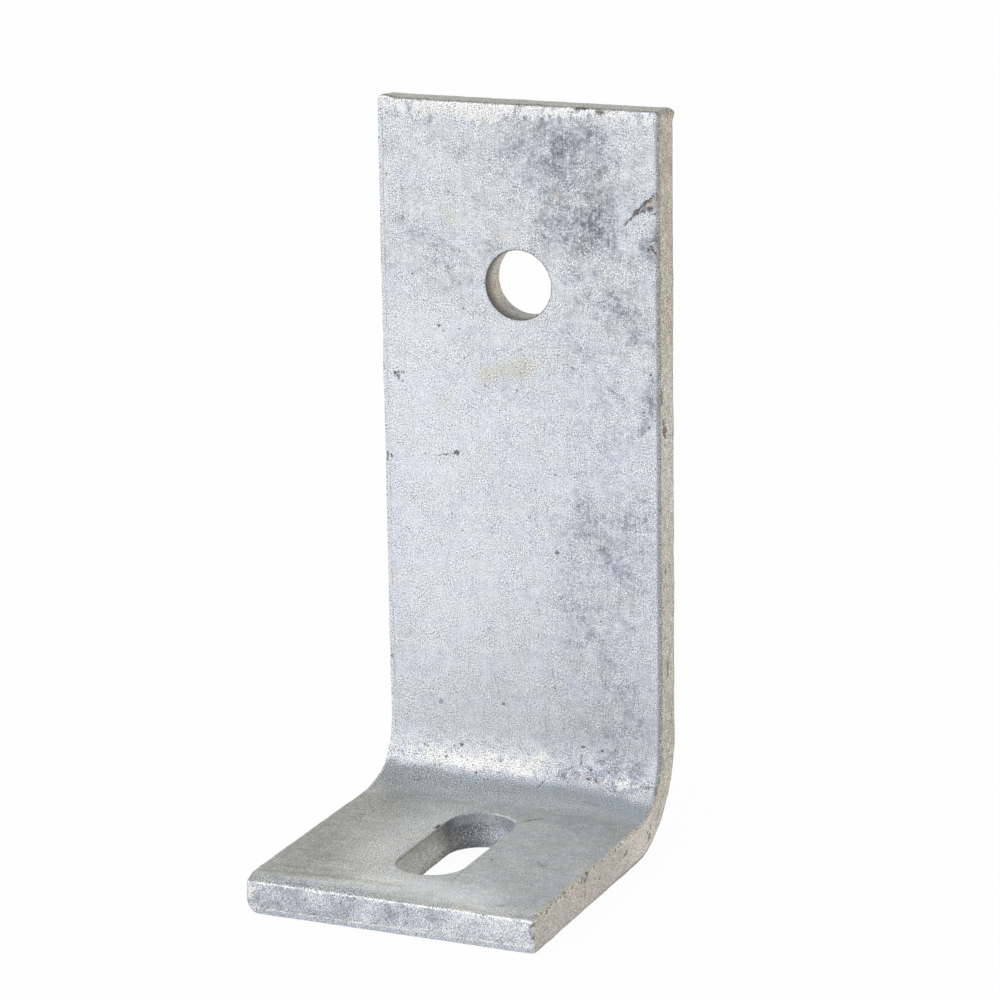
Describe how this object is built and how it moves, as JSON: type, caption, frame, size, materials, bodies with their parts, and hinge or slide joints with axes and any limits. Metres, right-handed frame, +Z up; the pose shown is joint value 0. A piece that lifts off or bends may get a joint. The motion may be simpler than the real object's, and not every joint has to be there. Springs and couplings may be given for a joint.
{
  "type": "concrete angle bracket",
  "caption": "Right-angle bracket folded from thick flat steel bar, with a round bolt hole high in its tall leg and a long slot for an anchor in its short foot, hot-dip galvanised.",
  "frame": {"origin": "underside of the foot, in the middle of the bar's width and midway between the leg's back face and the foot's front end", "axes": "+Z up along the leg, -Y along the foot away from the leg, X across the bar's width"},
  "size_m": [0.08, 0.098, 0.198],
  "materials": {
    "galvanised_steel": "hot-dip galvanised: satin zinc, mottled pale grey and blue-grey, with stains, specks and scratches"
  },
  "bodies": {
    "root": {"angle_bracket": "galvanised_steel"}
  },
  "joints": []
}
